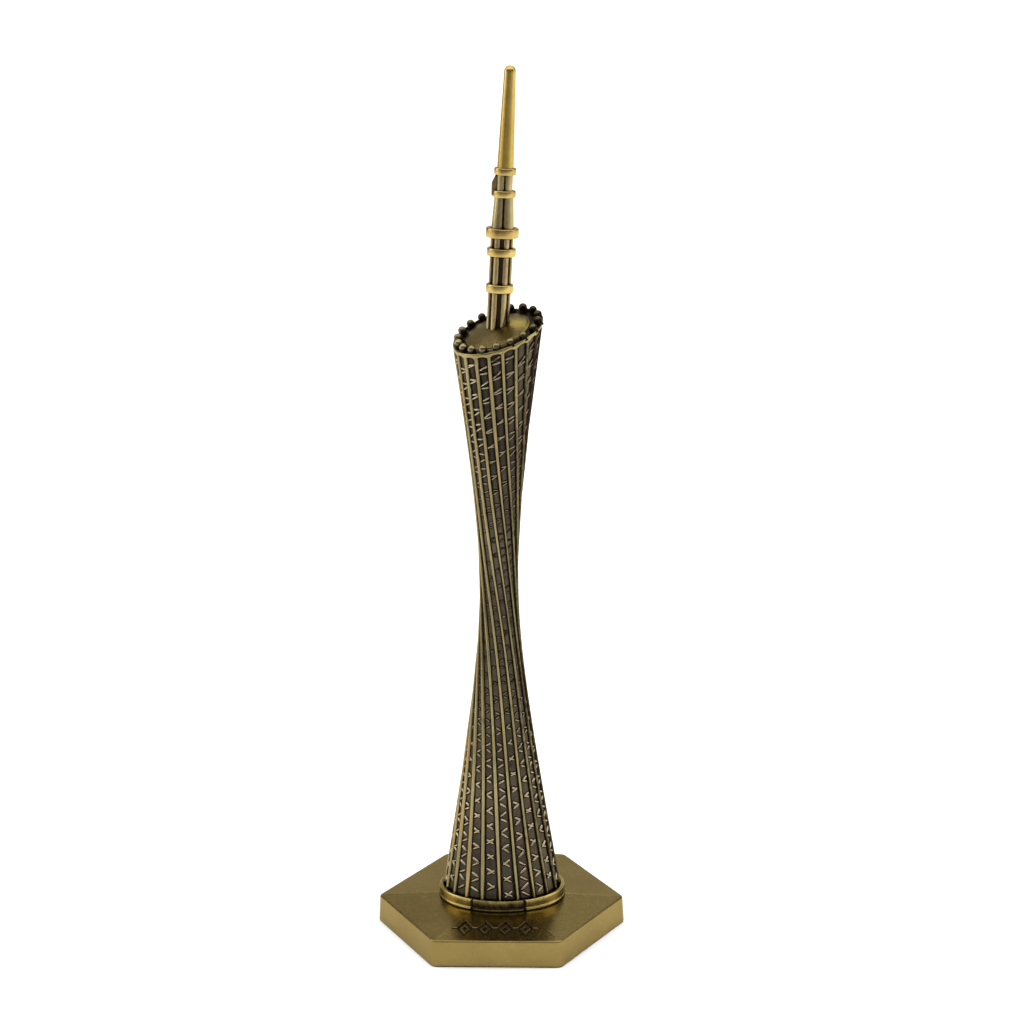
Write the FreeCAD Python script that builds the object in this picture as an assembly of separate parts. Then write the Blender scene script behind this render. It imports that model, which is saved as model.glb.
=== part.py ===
"""Souvenir tower figurine: a twisted, waisted tower with raised ribs on a hexagonal base.

Millimetres, +Z up. The origin is the centre of the flat underside of the base. The base has
corners on the X axis and flat sides towards -Y (the front) and +Y (the back).
"""
import FreeCAD, Part
import math
import os

Vector = FreeCAD.Vector

# ---------------------------------------------------------------- driving dimensions
# hexagonal base
base_corner_radius = 26.1       # centre to corner, at the upper rim
base_draft = 0.27               # the corners stand this much further out at the bottom
base_side_height = 5.66
base_crown_height = 0.74        # rise of the shallow pyramid between rim and foot ring
base_crown_top_radius = 11.8    # centre to corner of the flat on top of the pyramid
base_edge_round = 1.7           # upright edges
base_rim_round = 0.35           # upper edge
base_wall = 2.2
base_top_thickness = 1.9
hollow_inset = 1.2              # the hollow is this much narrower than the pad's recess
pad_thickness = 1.2
pad_gap = 0.1

# row of engraved lozenges joined by bars, on the front facet of the base
lozenge_count = 4
lozenge_pitch = 4.15
lozenge_half_width = 1.7
lozenge_half_depth = 3.2
lozenge_heart = (0.4, 0.75)     # half width and half depth of the mark inside each lozenge
engraved_line = 0.45
engraving_depth = 0.35
engraving_x = -0.5
engraving_y = -17.1

# screw that holds the tower down, under the pad
screw_radius = 1.5
screw_hole_radius = 1.6
screw_head_radius = 2.75
screw_head_height = 1.4
screw_head_round = 0.6
screw_slot_width = 0.7
screw_slot_depth = 0.6
screw_length = 9.0
washer_radius = 3.4
washer_thickness = 0.5
boss_radius = 6.0
boss_bottom = 3.3

# oval foot ring
seat_depth = 0.5                # the ring and the tower stand in this shallow seat
foot_ring_half_width = 13.25
foot_ring_half_depth = 10.3
foot_ring_bore_half_width = 12.4
foot_ring_bore_half_depth = 9.65
foot_ring_height = 2.9
foot_ring_round = 0.3

# tower shaft: the half width follows a hyperbola below and another above the waist
waist_height = 74.7
waist_half_width = 3.88
lower_slope = 0.1714
lower_bend = 20.7
upper_slope = 0.160
upper_bend = 27.9
foot_depth_ratio = 0.78         # depth over width of the oval section
waist_depth_ratio = 1.0
crown_depth_ratio = 1.20
foot_ratio_height = 8.0
crown_ratio_height = 128.0
tower_offset = 0.25             # the tower stands slightly to the right of the centre
tower_lean = 0.0016             # and leans this much per unit of height
rib_relief = 0.5                # ribs stand this much proud of the shaft wall
rib_crest = 0.15                # height of the rib crests over the nominal half width

# ribs
rib_count = 20
rib_foot_width = 0.85
rib_crest_width = 0.55
rib_wall_gap = 0.03
rib_foot_gap = 0.05             # between the ribs and the top of the foot ring
twist_gain = 0.575
twist_height = 73.2
twist_length = 22.3
first_rib_angle = -0.402        # radians, from the front, towards +X
crowding = 0.462                # how much the ribs spread at the front of the waist
crowding_height = 80.5
crowding_length = 29.5
crowding_angle = -0.16

# sloping crown
roof_height = 127.3
roof_slope_x = 0.262
roof_slope_y = 0.19
rim_thickness = 1.3
rim_overhang = 0.05
rim_width = 2.5
roof_plate_gap = 0.02           # between the plate and the rim
roof_plate_edge = 0.15          # the plate's edge stands this much above the rim
roof_dome_height = 1.5          # and its middle this much
roof_dome_steps = (0.0, 0.15, 0.30, 0.45, 0.61, 0.79)
bead_count = 18
bead_radius = 0.8
bead_post_height = 0.56
bead_inset = 0.88               # from the tower surface to the middle of a bead
bead_shift = 0.2                # the ring of beads stands this much to the right
first_bead_angle = math.radians(3.5)

# mast
mast_foot_x = 0.72
mast_foot_z = 127.4
mast_lean = math.radians(3.4)
spigot_radius = 1.1
spigot_depth = 4.0
stem_root = 3.0                 # how far stem and spigot run into each other
lower_lobe_radius = 0.76
lower_lobe_pitch = 1.50
upper_lobe_ratio = 0.77         # lobe pitch over lobe radius on the four-lobed stems
upper_stem_foot_width = 4.9
upper_stem_top_width = 4.1
top_stem_width = 3.4
spike_foot_radius = 1.65
spike_tip_radius = 1.15
side_box_reach = 2.55
side_box_root = 0.9
side_box_depth = 1.8
side_box_slope = 1.3
side_box_shoulder = 0.5
band_clearance = 0.02
band_round = 0.25
# bands: heights along the mast from its foot on the roof, and outer radii
lower_band = (8.1, 9.8)
middle_band = (15.4, 17.0)
main_band = (19.1, 21.0)
upper_band = (27.0, 28.4)
top_band = (31.4, 32.8)
mast_top = 52.6
lower_band_radius = 2.75
middle_band_radius = 2.9
main_band_radius = 3.3
upper_band_radius = 2.3
top_band_radius = 2.2

# construction
cut_margin = 2.0                # how far cutters reach past what they cut
crown_margin = 6.0              # the tower is lofted this far past the middle of the roof
slab_reach = 30.0               # half the side of the slab that trims the tower
slab_thickness = 40.0
tolerance = 0.01
small_turn = 0.01               # radians, for finding the direction along the surface


# ---------------------------------------------------------------- shared geometry
def half_width(z):
    """Nominal half width of the tower, at the middle of the rib relief."""
    rise = z - waist_height
    slope, bend = (lower_slope, lower_bend) if rise < 0 else (upper_slope, upper_bend)
    return waist_half_width + slope * (math.hypot(rise, bend) - bend)


def depth_ratio(z):
    if z < waist_height:
        share = (z - foot_ratio_height) / (waist_height - foot_ratio_height)
        return foot_depth_ratio + share * (waist_depth_ratio - foot_depth_ratio)
    share = (z - waist_height) / (crown_ratio_height - waist_height)
    return waist_depth_ratio + share * (crown_depth_ratio - waist_depth_ratio)


def tower_point(angle, z, offset=0.0):
    """Point of the tower surface; the angle is 0 at the front and grows towards +X."""
    width = half_width(z) + offset
    depth = half_width(z) * depth_ratio(z) + offset
    centre = tower_offset + tower_lean * z
    return Vector(centre + width * math.sin(angle), -depth * math.cos(angle), z)


def roof_z(x, y, offset=0.0):
    return roof_height + offset + roof_slope_x * x + roof_slope_y * y


def roof_point(angle, surface_offset, height_offset):
    """Point where the tower surface meets a plane parallel to the roof."""
    z = roof_height + height_offset
    for _ in range(12):
        point = tower_point(angle, z, surface_offset)
        z = roof_z(point.x, point.y, height_offset)
    return Vector(point.x, point.y, z)


def rib_angle(index, z):
    twist = twist_gain * math.atan((z - twist_height) / twist_length)
    plain = first_rib_angle + index * 2 * math.pi / rib_count - twist
    spread = crowding * math.exp(-((z - crowding_height) / crowding_length) ** 2)
    return plain + spread * math.sin(plain - crowding_angle)


def closed_curve(points):
    curve = Part.BSplineCurve()
    curve.interpolate(Points=points, PeriodicFlag=True)
    return Part.Wire([curve.toShape()])


def evenly(first, last, count):
    return [first + (last - first) * k / (count - 1) for k in range(count)]


def all_round(count):
    return [2 * math.pi * k / count for k in range(count)]


def tower_section(z, offset):
    return closed_curve([tower_point(angle, z, offset) for angle in all_round(24)])


def roof_section(surface_offset, height_offset):
    return closed_curve([roof_point(a, surface_offset, height_offset) for a in all_round(32)])


def hexagon(radius, z):
    corners = [Vector(radius * math.cos(a), radius * math.sin(a), z) for a in all_round(6)]
    return Part.makePolygon(corners + corners[:1])


def hexagon_prism(bottom_radius, top_radius, bottom, top):
    return Part.makeLoft([hexagon(bottom_radius, bottom), hexagon(top_radius, top)], True, True)


def oval_prism(half_x, half_y, bottom, top, centre_x=0.0):
    oval = Part.Ellipse(Vector(centre_x, 0, bottom), half_x, half_y).toShape()
    return Part.Face(Part.Wire([oval])).extrude(Vector(0, 0, top - bottom))


def disc(radius, bottom, top, centre_x=0.0):
    return Part.makeCylinder(radius, top - bottom, Vector(centre_x, 0, bottom))


def round_edges(solid, radius, wanted):
    edges = [edge for edge in solid.Edges if wanted(edge)]
    return solid.makeFillet(radius, edges)


def is_upright(edge):
    box = edge.BoundBox
    return box.ZLength > 4 and box.ZLength > 2 * max(box.XLength, box.YLength)


# ---------------------------------------------------------------- base
base_crown_top = base_side_height + base_crown_height
seat_z = base_crown_top - seat_depth
foot_centre = tower_offset


def lozenge(half_across, half_along, x, bottom):
    steps = ((-half_across, 0), (0, -half_along), (half_across, 0), (0, half_along))
    corners = [Vector(x + across, engraving_y + along, bottom) for across, along in steps]
    outline = Part.Face(Part.makePolygon(corners + corners[:1]))
    return outline.extrude(Vector(0, 0, cut_margin))


def make_engraving():
    """The engraved row as one cutter, standing on its floor."""
    flat_radius = base_corner_radius * math.cos(math.pi / 6)
    crown_flat_radius = base_crown_top_radius * math.cos(math.pi / 6)
    share = (flat_radius + engraving_y) / (flat_radius - crown_flat_radius)
    floor = base_side_height + share * base_crown_height - engraving_depth
    first = engraving_x - lozenge_pitch * (lozenge_count - 1) / 2
    # the island inside each outline is the same lozenge, smaller by the width of the line
    diagonal = math.hypot(lozenge_half_width, lozenge_half_depth)
    island_scale = 1 - engraved_line * diagonal / (lozenge_half_width * lozenge_half_depth)
    cutters = []
    for k in range(lozenge_count):
        x = first + k * lozenge_pitch
        outline = lozenge(lozenge_half_width, lozenge_half_depth, x, floor)
        island = lozenge(lozenge_half_width * island_scale,
                         lozenge_half_depth * island_scale, x, floor)
        cutters.append(outline.cut(island))
        cutters.append(lozenge(*lozenge_heart, x, floor))
    for k in range(lozenge_count + 1):
        x = first + (k - 0.5) * lozenge_pitch
        reach = lozenge_pitch - 2 * lozenge_half_width + engraved_line
        corner = Vector(x - reach / 2, engraving_y - engraved_line / 2, floor)
        cutters.append(Part.makeBox(reach, engraved_line, cut_margin, corner))
    return cutters[0].multiFuse(cutters[1:])


def is_on_base_rim(edge):
    """Edges of the rim lie near the side height and further out than the pyramid's creases."""
    box = edge.BoundBox
    middle = edge.valueAt((edge.FirstParameter + edge.LastParameter) / 2)
    flat_radius = base_corner_radius * math.cos(math.pi / 6)
    far_out = math.hypot(middle.x, middle.y) > flat_radius - base_rim_round
    level = (box.ZMin + box.ZMax) / 2
    height = box.ZMax - box.ZMin
    return far_out and abs(level - base_side_height) < base_rim_round and height < base_rim_round


def make_base_shell():
    block_top = base_side_height + cut_margin
    taper = base_draft / base_side_height
    block = hexagon_prism(base_corner_radius + base_draft,
                          base_corner_radius - cut_margin * taper, 0, block_top)
    block = round_edges(block, base_edge_round, is_upright)
    # the shallow pyramid, carried below the rim so that it trims the whole block
    run = base_corner_radius - base_crown_top_radius
    drop = base_crown_top * run / base_crown_height
    pyramid = hexagon_prism(base_crown_top_radius + drop, base_crown_top_radius,
                            0, base_crown_top)
    block = block.common(pyramid)
    block = round_edges(block, base_rim_round, is_on_base_rim)
    ledge = pad_thickness
    inner = base_corner_radius - base_wall
    roof = base_side_height - base_top_thickness
    hollow = hexagon_prism(inner - hollow_inset, inner - hollow_inset, ledge, roof)
    recess = hexagon_prism(inner, inner, 0, ledge)
    boss = disc(boss_radius, boss_bottom, roof, foot_centre)
    seat = oval_prism(foot_ring_half_width, foot_ring_half_depth, seat_z, block_top, foot_centre)
    hole = disc(screw_hole_radius, 0, block_top, foot_centre)
    for cutter in (hollow.cut(boss), recess, seat, hole, make_engraving()):
        block = block.cut(cutter)
    return block


def make_base_pad():
    radius = base_corner_radius - base_wall - pad_gap
    return hexagon_prism(radius, radius, 0, pad_thickness)


def make_screw():
    washer_bottom = boss_bottom - washer_thickness
    head_bottom = washer_bottom - screw_head_height
    head = disc(screw_head_radius, head_bottom, washer_bottom, foot_centre)
    head = round_edges(head, screw_head_round,
                       lambda edge: edge.BoundBox.ZMax < head_bottom + tolerance)
    shank = disc(screw_radius, washer_bottom, washer_bottom + screw_length, foot_centre)
    corner = Vector(foot_centre - screw_head_radius, -screw_slot_width / 2, head_bottom)
    slot = Part.makeBox(2 * screw_head_radius, screw_slot_width, screw_slot_depth, corner)
    return head.fuse(shank).cut(slot).removeSplitter()


def make_washer():
    bottom = boss_bottom - washer_thickness
    return disc(washer_radius, bottom, boss_bottom, foot_centre).cut(
        disc(screw_hole_radius, bottom, boss_bottom, foot_centre))


def make_foot_ring():
    top = seat_z + foot_ring_height
    ring = oval_prism(foot_ring_half_width, foot_ring_half_depth, seat_z, top, foot_centre)
    ring = round_edges(ring, foot_ring_round,
                       lambda edge: edge.BoundBox.ZMin > top - tolerance)
    bore = oval_prism(foot_ring_bore_half_width, foot_ring_bore_half_depth, seat_z, top,
                      foot_centre)
    return ring.cut(bore)


# ---------------------------------------------------------------- tower
def above_roof(height_offset):
    """A thick slab whose underside is the plane parallel to the roof."""
    corners = [Vector(across * slab_reach, along * slab_reach,
                      roof_z(across * slab_reach, along * slab_reach, height_offset))
               for across, along in ((-1, -1), (1, -1), (1, 1), (-1, 1))]
    face = Part.Face(Part.makePolygon(corners + corners[:1]))
    return face.extrude(Vector(0, 0, slab_thickness))


def mast_placement():
    axis_turn = FreeCAD.Rotation(Vector(0, 1, 0), math.degrees(mast_lean))
    return FreeCAD.Placement(Vector(mast_foot_x, 0, mast_foot_z), axis_turn)


def on_mast(shape):
    placed = shape.copy()
    placed.Placement = mast_placement().multiply(placed.Placement)
    return placed


def mast_socket():
    return on_mast(disc(spigot_radius, -spigot_depth, spigot_depth))


def make_tower_core():
    heights = evenly(seat_z, roof_height + crown_margin, 15)
    core = Part.makeLoft([tower_section(z, rib_crest - rib_relief) for z in heights], True)
    thread = disc(screw_radius, seat_z, seat_z + screw_length, foot_centre)
    return core.cut(above_roof(-rim_thickness)).cut(thread).cut(mast_socket())


def make_rib(index):
    sections = []
    foot = seat_z + foot_ring_height + rib_foot_gap
    for z in evenly(foot, roof_height + crown_margin, 17):
        angle = rib_angle(index, z)
        middle = tower_point(angle, z)
        ahead = tower_point(angle + small_turn, z) - tower_point(angle - small_turn, z)
        along = ahead.normalize()
        outward = Vector(along.y, -along.x, 0)
        wall = rib_crest - rib_relief + rib_wall_gap
        profile = [(-rib_foot_width / 2, wall), (-rib_crest_width / 2, rib_crest),
                   (rib_crest_width / 2, rib_crest), (rib_foot_width / 2, wall)]
        corners = [middle + along * across + outward * height for across, height in profile]
        sections.append(Part.makePolygon(corners + corners[:1]))
    return Part.makeLoft(sections, True)


def make_tower_ribs():
    slab = above_roof(-rim_thickness)
    return Part.makeCompound([make_rib(k).cut(slab) for k in range(rib_count)])


# ---------------------------------------------------------------- crown
def crown_band(surface_offset, low, high):
    return Part.makeLoft([roof_section(surface_offset, low), roof_section(surface_offset, high)],
                         True, True)


def make_crown_rim():
    outer = crown_band(rim_overhang, -rim_thickness, 0)
    inner = crown_band(rim_overhang - rim_width, -rim_thickness - cut_margin, cut_margin)
    return outer.cut(inner)


def make_roof_cover():
    """The domed roof plate before the mast's hole is made."""
    surface = rim_overhang - rim_width - roof_plate_gap
    plate = crown_band(surface, -rim_thickness, roof_plate_edge)
    reach = half_width(roof_height) + surface
    rise = roof_dome_height - roof_plate_edge
    rings = [roof_section(surface - share * reach,
                          roof_plate_edge + rise * share * (2 - share))
             for share in roof_dome_steps]
    return plate.fuse(Part.makeLoft(rings, True, True)).removeSplitter()


def make_roof_plate():
    return make_roof_cover().cut(mast_socket())


def make_crown_beads():
    beads = []
    normal = Vector(-roof_slope_x, -roof_slope_y, 1).normalize()
    for step in all_round(bead_count):
        centre = roof_point(first_bead_angle + step, -bead_inset, 0)
        centre += Vector(bead_shift, 0, bead_shift * roof_slope_x)
        post = Part.makeCylinder(bead_radius, bead_post_height, centre, normal)
        cap_centre = centre + normal * bead_post_height
        cap = Part.makeSphere(bead_radius, cap_centre, normal, 0, 90, 360)
        beads.append(post.fuse(cap).removeSplitter())
    return Part.makeCompound(beads)


# ---------------------------------------------------------------- mast, along its own axis
def lobed_outline(count, pitch, lobe, height):
    """Closed outline of round lobes set in a ring, with grooves between them."""
    half_step = math.pi / count
    start = half_step - math.pi / 2
    groove = pitch * math.cos(half_step) + math.sqrt(
        lobe ** 2 - (pitch * math.sin(half_step)) ** 2)
    edges = []
    for k in range(count):
        angle = start + 2 * k * half_step
        ends = [Vector(groove * math.cos(a), groove * math.sin(a), height)
                for a in (angle - half_step, angle + half_step)]
        reach = pitch + lobe
        crest = Vector(reach * math.cos(angle), reach * math.sin(angle), height)
        edges.append(Part.Arc(ends[0], crest, ends[1]).toShape())
    return Part.Wire(edges)


def lobed_stem(count, low, high, low_pitch, low_lobe, high_pitch, high_lobe):
    outlines = [lobed_outline(count, low_pitch, low_lobe, low),
                lobed_outline(count, high_pitch, high_lobe, high)]
    return Part.makeLoft(outlines, True, True)


def four_lobed_stem(low, high, low_width, high_width):
    """Stem of the given widths across, seen from the front."""
    lobes = [width / 2 / (1 + upper_lobe_ratio * math.cos(math.pi / 4))
             for width in (low_width, high_width)]
    return lobed_stem(4, low, high, lobes[0] * upper_lobe_ratio, lobes[0],
                      lobes[1] * upper_lobe_ratio, lobes[1])


def band(span, radius, bore=0.0):
    low, high = span
    ring = round_edges(disc(radius, low, high), band_round, lambda edge: len(edge.Vertexes) == 1)
    return ring.cut(disc(bore, low - cut_margin, high + cut_margin)) if bore else ring


def make_mast_lower_stem():
    stem = lobed_stem(6, -stem_root, main_band[0], lower_lobe_pitch, lower_lobe_radius,
                      lower_lobe_pitch, lower_lobe_radius)
    stem = on_mast(stem).common(above_roof(0)).cut(make_roof_cover())
    return stem.fuse(on_mast(disc(spigot_radius, -spigot_depth, stem_root))).removeSplitter()


def make_slip_band(span, radius):
    """Ring that slips over the six lobes of the lower stem."""
    return on_mast(band(span, radius, lower_lobe_pitch + lower_lobe_radius + band_clearance))


def make_mast_side_box():
    low, high = upper_band[0], top_band[0]
    outline = [(-side_box_reach, low), (-side_box_reach, high - side_box_slope),
               (-side_box_reach + side_box_shoulder, high), (-side_box_root, high),
               (-side_box_root, low)]
    corners = [Vector(x, -side_box_depth / 2, z) for x, z in outline]
    box = Part.Face(Part.makePolygon(corners + corners[:1])).extrude(Vector(0, side_box_depth, 0))
    upper_disc = disc(upper_band_radius, *upper_band)
    return on_mast(box.cut(upper_disc).cut(make_top_stem_shape()))


def make_top_stem_shape():
    return four_lobed_stem(upper_band[1], top_band[0], top_stem_width, top_stem_width)


def make_mast_spike():
    low = top_band[1]
    shoulder = mast_top - spike_tip_radius
    cone = Part.makeCone(spike_foot_radius, spike_tip_radius, shoulder - low, Vector(0, 0, low))
    tip = Part.makeSphere(spike_tip_radius, Vector(0, 0, shoulder), Vector(0, 0, 1), 0, 90, 360)
    return on_mast(cone.fuse(tip).removeSplitter())


# ---------------------------------------------------------------- write one file per piece
parts = {
    "base_shell": make_base_shell(),
    "base_pad": make_base_pad(),
    "base_screw": make_screw(),
    "screw_washer": make_washer(),
    "foot_ring": make_foot_ring(),
    "tower_core": make_tower_core(),
    "tower_ribs": make_tower_ribs(),
    "crown_rim": make_crown_rim(),
    "roof_plate": make_roof_plate(),
    "crown_beads": make_crown_beads(),
    "mast_lower_stem": make_mast_lower_stem(),
    "mast_lower_band": make_slip_band(lower_band, lower_band_radius),
    "mast_middle_band": make_slip_band(middle_band, middle_band_radius),
    "mast_main_band": on_mast(band(main_band, main_band_radius)),
    "mast_upper_stem": on_mast(four_lobed_stem(main_band[1], upper_band[0],
                                               upper_stem_foot_width, upper_stem_top_width)),
    "mast_upper_band": on_mast(band(upper_band, upper_band_radius)),
    "mast_top_stem": on_mast(make_top_stem_shape()),
    "mast_side_box": make_mast_side_box(),
    "mast_top_band": on_mast(band(top_band, top_band_radius)),
    "mast_spike": make_mast_spike(),
}

os.makedirs("parts", exist_ok=True)
for name, shape in parts.items():
    print(name, shape.isValid(), len(shape.Solids), round(shape.Volume, 2))
    shape.exportStep("parts/%s.step" % name)
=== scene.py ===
import math
import random

import bpy
import numpy as np
from mathutils import Matrix, Vector


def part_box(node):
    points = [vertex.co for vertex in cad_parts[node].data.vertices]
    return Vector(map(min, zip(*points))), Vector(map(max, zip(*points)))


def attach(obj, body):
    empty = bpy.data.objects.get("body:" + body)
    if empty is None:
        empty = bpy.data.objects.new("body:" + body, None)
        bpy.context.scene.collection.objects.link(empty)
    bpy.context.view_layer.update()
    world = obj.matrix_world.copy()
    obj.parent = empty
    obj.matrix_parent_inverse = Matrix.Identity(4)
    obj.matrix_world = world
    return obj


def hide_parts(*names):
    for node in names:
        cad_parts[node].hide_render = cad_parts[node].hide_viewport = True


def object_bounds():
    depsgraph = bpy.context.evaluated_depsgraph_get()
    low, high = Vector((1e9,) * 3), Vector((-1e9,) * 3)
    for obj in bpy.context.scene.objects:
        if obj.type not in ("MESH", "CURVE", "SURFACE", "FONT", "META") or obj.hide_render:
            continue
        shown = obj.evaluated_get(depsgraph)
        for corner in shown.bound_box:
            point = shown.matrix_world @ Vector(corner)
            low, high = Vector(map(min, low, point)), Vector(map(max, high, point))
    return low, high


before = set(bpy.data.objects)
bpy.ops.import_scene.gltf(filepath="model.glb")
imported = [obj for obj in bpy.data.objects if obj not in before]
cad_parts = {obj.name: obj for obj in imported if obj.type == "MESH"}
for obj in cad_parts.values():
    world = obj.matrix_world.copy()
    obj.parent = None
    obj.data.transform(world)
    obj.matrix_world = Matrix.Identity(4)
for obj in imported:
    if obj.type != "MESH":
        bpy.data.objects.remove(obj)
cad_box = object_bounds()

MM = 0.001
TAU = 2 * math.pi

# ---------------------------------------- sizes, in millimetres
# The tower's formula repeats the CAD model's own, as do the sizes further down; the heights
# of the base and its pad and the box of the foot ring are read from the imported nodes.
waist_height = 74.7
waist_half_width = 3.88
lower_slope, lower_bend = 0.1714, 20.7
upper_slope, upper_bend = 0.160, 27.9
foot_depth_ratio, waist_depth_ratio, crown_depth_ratio = 0.78, 1.0, 1.20
foot_ratio_height, crown_ratio_height = 8.0, 128.0
tower_offset, tower_lean = 0.25, 0.0016
rib_count = 20
twist_gain, twist_height, twist_length = 0.575, 73.2, 22.3
first_rib_angle = -0.402
crowding, crowding_height, crowding_length, crowding_angle = 0.462, 80.5, 29.5, -0.16
wall_offset = -0.35
crest_offset = 0.15
roof_height, roof_slope_x, roof_slope_y = 127.3, 0.262, 0.19


def node_box(name):
    """Lowest and highest corner of a CAD node, in millimetres."""
    low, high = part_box(name)
    return np.array(low) / MM, np.array(high) / MM


ring_low, ring_high = node_box("foot_ring")
tower_span = roof_height - ring_high[2]     # from the foot ring to the middle of the roof
panel_rounds, roof_rounds = 8, 12           # repeats that bring a point to the sloping roof


# ---------------------------------------- tower surface
def half_width(z):
    """Half the tower's width from left to right: two curves that meet at the waist."""
    rise = z - waist_height
    slope = np.where(rise < 0, lower_slope, upper_slope)
    bend = np.where(rise < 0, lower_bend, upper_bend)
    return waist_half_width + slope * (np.hypot(rise, bend) - bend)


def depth_ratio(z):
    """Depth of the tower from front to back, as a share of its width."""
    below = (z - foot_ratio_height) / (waist_height - foot_ratio_height)
    above = (z - waist_height) / (crown_ratio_height - waist_height)
    low = foot_depth_ratio + below * (waist_depth_ratio - foot_depth_ratio)
    high = waist_depth_ratio + above * (crown_depth_ratio - waist_depth_ratio)
    return np.where(z < waist_height, low, high)


def tower_point(angle, z, offset=0.0):
    """Points of the tower surface; the angle is 0 at the front and grows towards +X."""
    width = half_width(z)
    x = tower_offset + tower_lean * z + (width + offset) * np.sin(angle)
    y = -(width * depth_ratio(z) + offset) * np.cos(angle)
    return np.stack(np.broadcast_arrays(x, y, z), axis=-1)


def rib_angle(index, z):
    """Angle of a rib, or of a place between two ribs, at a height."""
    twist = twist_gain * np.arctan((z - twist_height) / twist_length)
    plain = first_rib_angle + index * TAU / rib_count - twist
    spread = crowding * np.exp(-((z - crowding_height) / crowding_length) ** 2)
    return plain + spread * np.sin(plain - crowding_angle)


def roof_z(point, lift=0.0):
    """Height of the sloping roof plane, moved up by a lift, above or below a point."""
    return roof_height + lift + roof_slope_x * point[..., 0] + roof_slope_y * point[..., 1]


def panel_point(index, share, offset=0.0, lift=0.0):
    """Point at a share of the height, where 0 is the foot and 1 the roof plane plus lift."""
    foot = ring_high[2]
    share = np.asarray(share, float)
    z = foot + share * (roof_height - foot)
    for _ in range(panel_rounds):
        point = tower_point(rib_angle(index, z), z, offset)
        z = foot + share * (roof_z(point, lift) - foot)
    return tower_point(rib_angle(index, z), z, offset)


def roof_outline(angle, surface_offset, lift):
    """Points where the tower surface, moved out by an offset, meets a plane above the roof."""
    z = np.full_like(np.asarray(angle, float), roof_height + lift)
    for _ in range(roof_rounds):
        z = roof_z(tower_point(angle, z, surface_offset), lift)
    return tower_point(angle, z, surface_offset)


# ---------------------------------------- mesh building
def grid_faces(rows, columns, closed_rows):
    """Quads of a grid of points stored row after row; every row closes on itself."""
    faces = []
    for r in range(rows if closed_rows else rows - 1):
        here, below = r * columns, (r + 1) % rows * columns
        for c in range(columns):
            right = (c + 1) % columns
            faces.append((here + c, here + right, below + right, below + c))
    return faces


def make_piece(name, points, faces, wear_and_light, material, node, sharp_angle):
    """A mesh in millimetres becomes a piece that stands for a CAD node."""
    mesh = bpy.data.meshes.new(name)
    mesh.from_pydata((np.asarray(points) * MM).tolist(), [], faces)
    mesh.update()
    piece = bpy.data.objects.new(name, mesh)
    bpy.context.scene.collection.objects.link(piece)
    # the per-point attribute holds each piece's wear together with painted light and shade
    layer = mesh.attributes.new("wear_and_light", "FLOAT", "POINT")
    layer.data.foreach_set("value", np.asarray(wear_and_light, np.float32))
    mesh.materials.append(material)
    with bpy.context.temp_override(object=piece, active_object=piece,
                                   selected_editable_objects=[piece]):
        bpy.ops.object.shade_smooth_by_angle(angle=math.radians(sharp_angle))
    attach(piece, "root")
    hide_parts(node)


class Builder:
    """Collects several grids into one mesh."""

    def __init__(self):
        self.points = []
        self.faces = []
        self.wear_and_light = []

    def add(self, points, wear_and_light, faces):
        """Rows of points with their worn and painted brightness, and the faces between them."""
        first = len(self.points)
        self.points.extend(points.reshape(-1, 3).tolist())
        self.faces.extend(tuple(first + corner for corner in face) for face in faces)
        self.wear_and_light.extend(np.broadcast_to(wear_and_light, points.shape[:2]).reshape(-1).tolist())

    def add_capped(self, points, wear_and_light):
        """Rows of closed rings, with a face across the first and the last."""
        points = np.asarray(points, float)
        rows, columns = points.shape[:2]
        faces = grid_faces(rows, columns, closed_rows=False)
        faces.append(tuple(range(columns))[::-1])
        faces.append(tuple((rows - 1) * columns + c for c in range(columns)))
        self.add(points, np.asarray(wear_and_light, float), faces)

    def add_hoop(self, points, wear_and_light):
        """Rows of closed rings, of which the last joins the first."""
        points = np.asarray(points, float)
        rows, columns = points.shape[:2]
        self.add(points, np.asarray(wear_and_light, float), grid_faces(rows, columns, closed_rows=True))

    def piece(self, name, material, slot, node, sharp_angle=50):
        """Edges steeper than the angle, in degrees, stay sharp."""
        make_piece(name, self.points, self.faces, self.wear_and_light, material, node, sharp_angle)


def arc(centre, radius, start, end, steps):
    """Points of an arc in a plane, angles in degrees."""
    angles = np.radians(np.linspace(start, end, steps))
    return [(centre[0] + radius * math.cos(a), centre[1] + radius * math.sin(a)) for a in angles]


def turned(profile, place, rotation, columns, shape=None):
    """Lathe profile of (radius, height) pairs about an axis; shape may vary the radius."""
    angles = np.linspace(0, TAU, columns, endpoint=False)
    rows = []
    for radius, height in profile:
        reach = radius * (shape(angles, height) if shape else 1.0)
        local = np.stack([reach * np.cos(angles), reach * np.sin(angles),
                          np.full_like(angles, height)], axis=-1)
        rows.append(local @ rotation.T + place)
    return np.array(rows)


def axis_frame(direction):
    """Rotation that turns +Z to a direction, keeping +X close to where it was."""
    up = np.asarray(direction, float) / np.linalg.norm(direction)
    side = np.cross((0, 1, 0), up)
    side /= np.linalg.norm(side)
    return np.stack([side, np.cross(up, side), up], axis=1)


# ---------------------------------------- materials
# scales of the noises in the brass, per metre
clouds_scale, specks_scale, grain_scale, tinge_scale = 70, 900, 4200, 230
cavity_reach, cavity_samples = 0.8, 6
patina_rough = 0.42
speck_rough = 0.16              # how much the specks roughen and smooth the surface
metal_glance = (0.86, 0.80, 0.66, 1.0)      # tint of the metal at a glancing angle


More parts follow.
